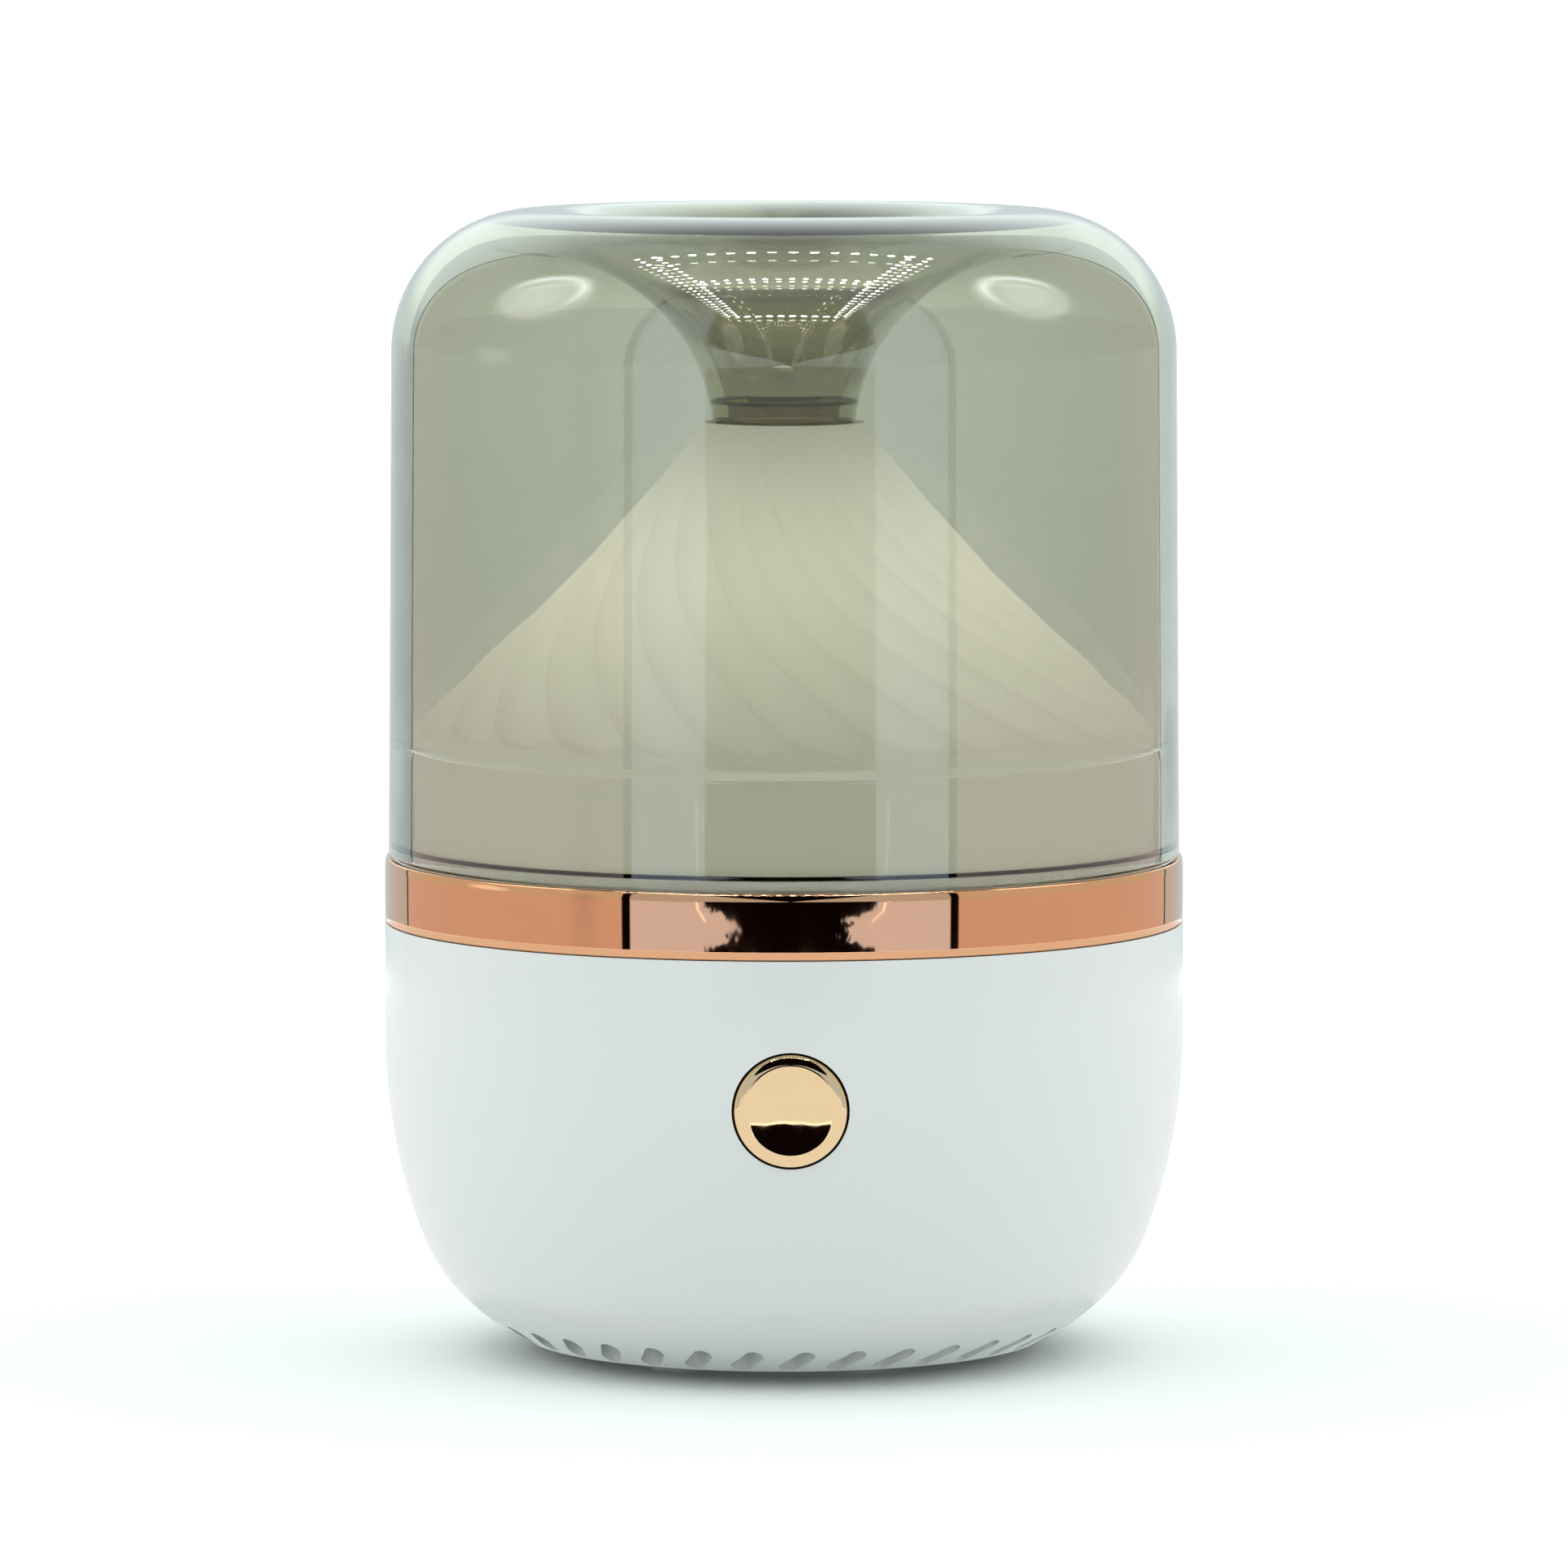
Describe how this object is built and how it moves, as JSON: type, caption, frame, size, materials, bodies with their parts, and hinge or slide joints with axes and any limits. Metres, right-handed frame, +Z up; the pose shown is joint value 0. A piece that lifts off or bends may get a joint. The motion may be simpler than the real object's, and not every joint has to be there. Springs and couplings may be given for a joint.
{
  "type": "essential oil diffuser",
  "caption": "Ultrasonic essential oil diffuser: clear dome cover with a funnel outlet over a fluted mist guide, on a round white base with a metallic trim ring and one push button.",
  "frame": {"origin": "on the standing surface, at the middle of the base", "axes": "+Z up, button on the -Y side, power socket on the +Y side, +X to the right seen from the button"},
  "size_m": [0.1, 0.1, 0.143],
  "materials": {
    "smoked_clear_plastic": "clear grey-green, polished",
    "frosted_white_plastic": "frosted",
    "rose_gold": "mirror plated",
    "gold_button": "mirror plated",
    "base_white": "fine matte",
    "tank_white": "satin",
    "silicone": "matte",
    "foot_rubber": "matte",
    "disc_metal": "satin",
    "copper": "bare",
    "screw_steel": "zinc plated",
    "board_green": "solder mask",
    "light_white": "moulded",
    "black_plastic": "moulded",
    "lead_cover": "soft sleeve",
    "contact_metal": "plated"
  },
  "bodies": {
    "base": {"trim_ring": "rose_gold", "base_shell": "base_white", "water_tank": "tank_white", "duct_cap": "tank_white", "tank_gasket": "silicone", "transducer_disc": "disc_metal", "transducer_gasket": "silicone", "transducer_electrode": "contact_metal", "transducer_retainer": "base_white", "retainer_screws": "screw_steel", "light_board": "board_green", "light_board_screws": "screw_steel", "lights": "light_white", "fan_frame": "black_plastic", "fan_screws": "screw_steel", "fan_bearing": "contact_metal", "fan_stator": "copper", "main_board": "board_green", "main_board_screws": "screw_steel", "driver_coil": "copper", "capacitors": "black_plastic", "driver_chip": "black_plastic", "driver_transistor": "black_plastic", "lead_sockets": "light_white", "power_socket": "black_plastic", "power_socket_pin": "contact_metal", "disc_lead": "lead_cover", "light_lead": "lead_cover", "fan_lead": "lead_cover", "button_lead": "lead_cover", "switch_body": "black_plastic", "button_board": "board_green", "bottom_cover": "base_white", "cover_screws": "screw_steel", "rubber_feet": "foot_rubber"},
    "guide": {"mist_guide": "frosted_white_plastic"},
    "cover": {"cover_dome": "smoked_clear_plastic"},
    "button": {"button_cap": "gold_button"},
    "plunger": {"switch_plunger": "light_white"},
    "impeller": {"fan_impeller": "black_plastic", "fan_shaft": "screw_steel"}
  },
  "joints": [
    {"name": "guide_lift", "type": "slide", "parent": "base", "child": "guide", "axis": [0, 0, 1], "range_m": [0, 0.07]},
    {"name": "cover_lift", "type": "slide", "parent": "guide", "child": "cover", "axis": [0, 0, 1], "range_m": [0, 0.1]},
    {"name": "button_press", "type": "slide", "parent": "base", "child": "button", "axis": [0, 1, 0], "range_m": [0, 0.0005], "stiffness_N_per_m": 900, "springref_m": -0.0008},
    {"name": "plunger_press", "type": "slide", "parent": "base", "child": "plunger", "axis": [0, 1, 0], "range_m": [0, 0.0005]},
    {"name": "fan_spin", "type": "hinge", "parent": "base", "child": "impeller", "pos_m": [0, 0, 0.0092], "axis": [0, 0, 1], "continuous": true}
  ],
  "couplings": [
    {"joint": "plunger_press", "follows": "button_press", "ratio": 1}
  ]
}
